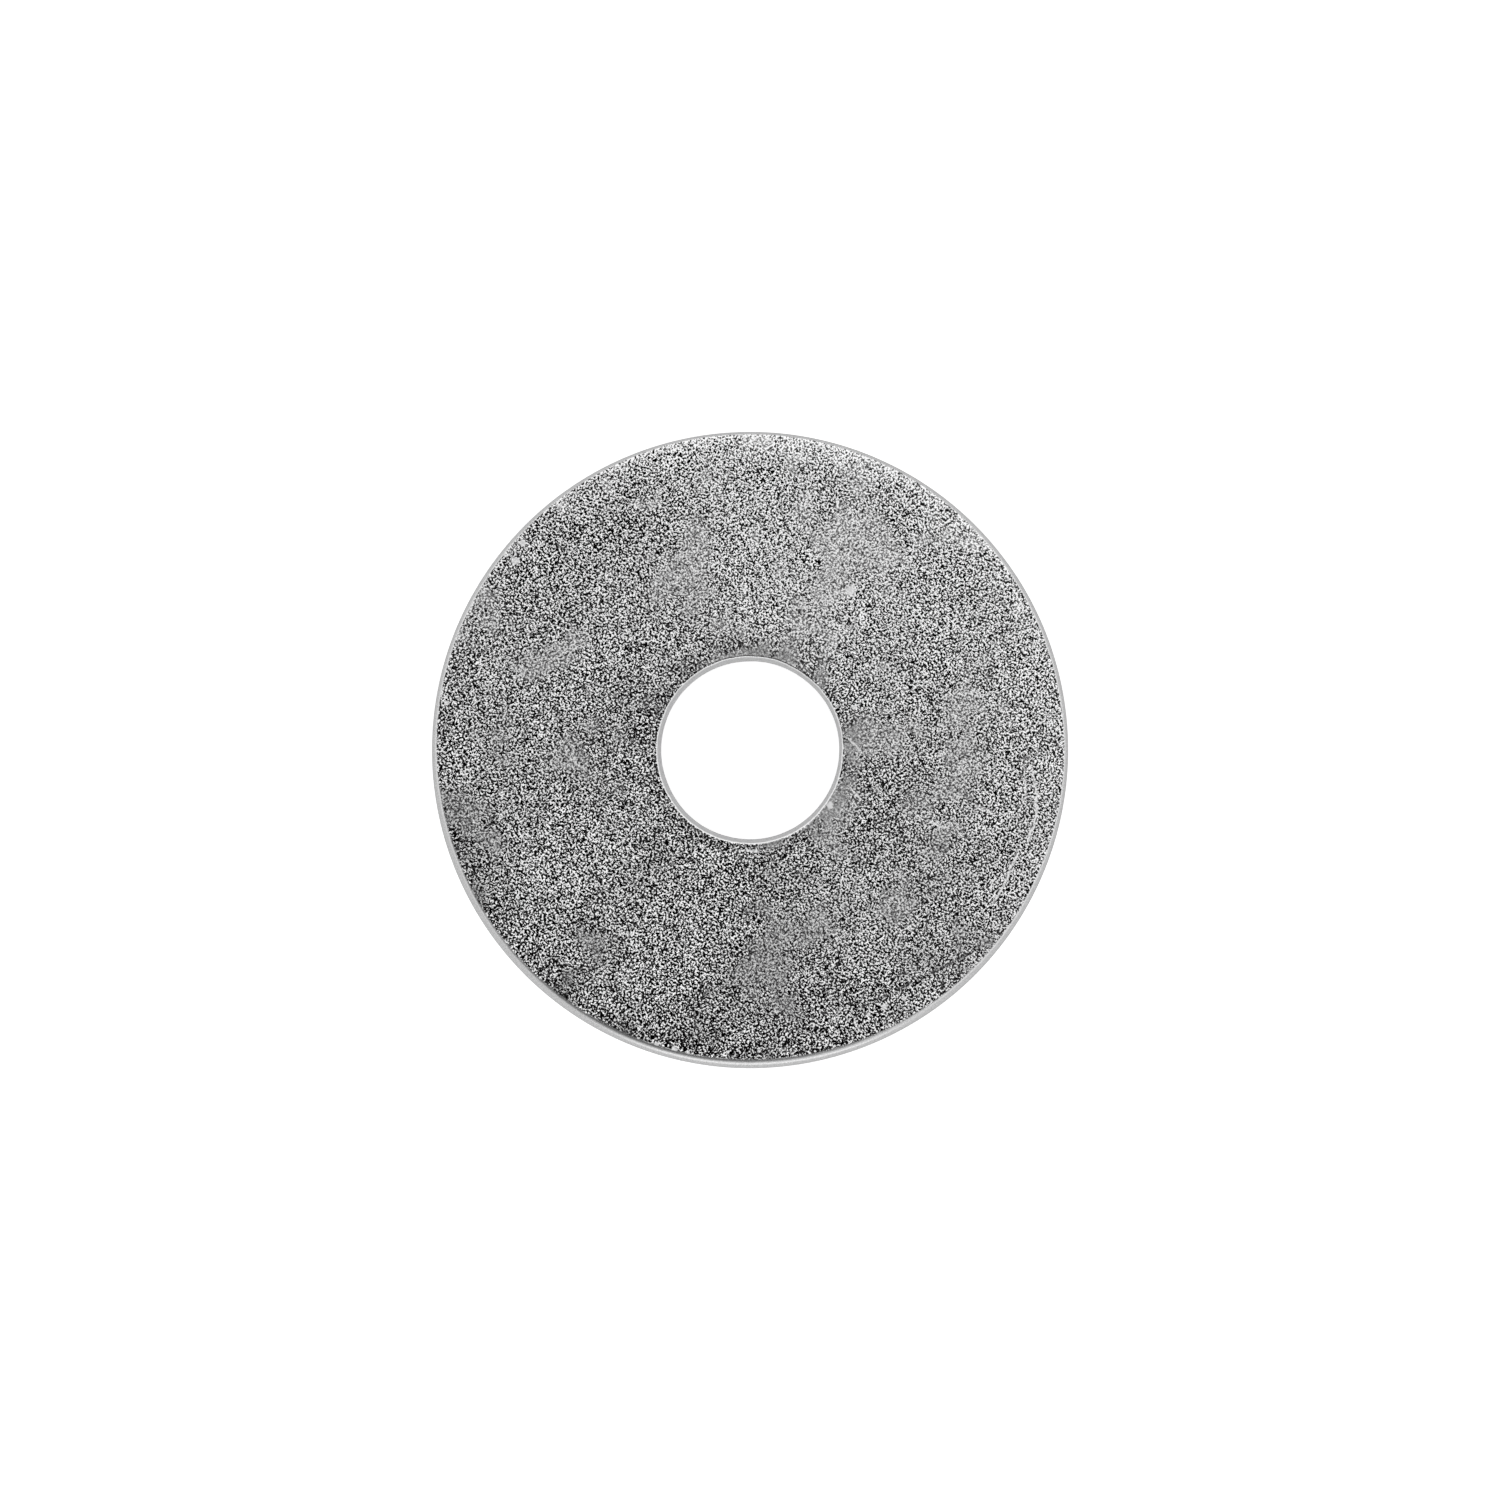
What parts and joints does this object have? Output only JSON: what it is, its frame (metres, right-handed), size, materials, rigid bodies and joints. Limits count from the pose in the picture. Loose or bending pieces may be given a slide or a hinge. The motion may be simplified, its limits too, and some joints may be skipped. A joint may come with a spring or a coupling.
{
  "type": "flat washer",
  "caption": "Thin steel ring with a wide rim and a small central hole that spreads the load of a bolt head or nut over a soft or thin surface.",
  "frame": {"origin": "centre of the bore in the lower bearing face", "axes": "+Z along the bore's axis, from the lower face to the upper face, which has the rounded rim; X and Y lie in the lower face and are interchangeable"},
  "size_m": [0.03, 0.03, 0.0015],
  "materials": {
    "zinc_plated_steel": "bright zinc plate over tumbled steel: satin, with a fine pitted grain, burnished spots and smoother cut edges"
  },
  "bodies": {
    "root": {"washer": "zinc_plated_steel"}
  },
  "joints": []
}
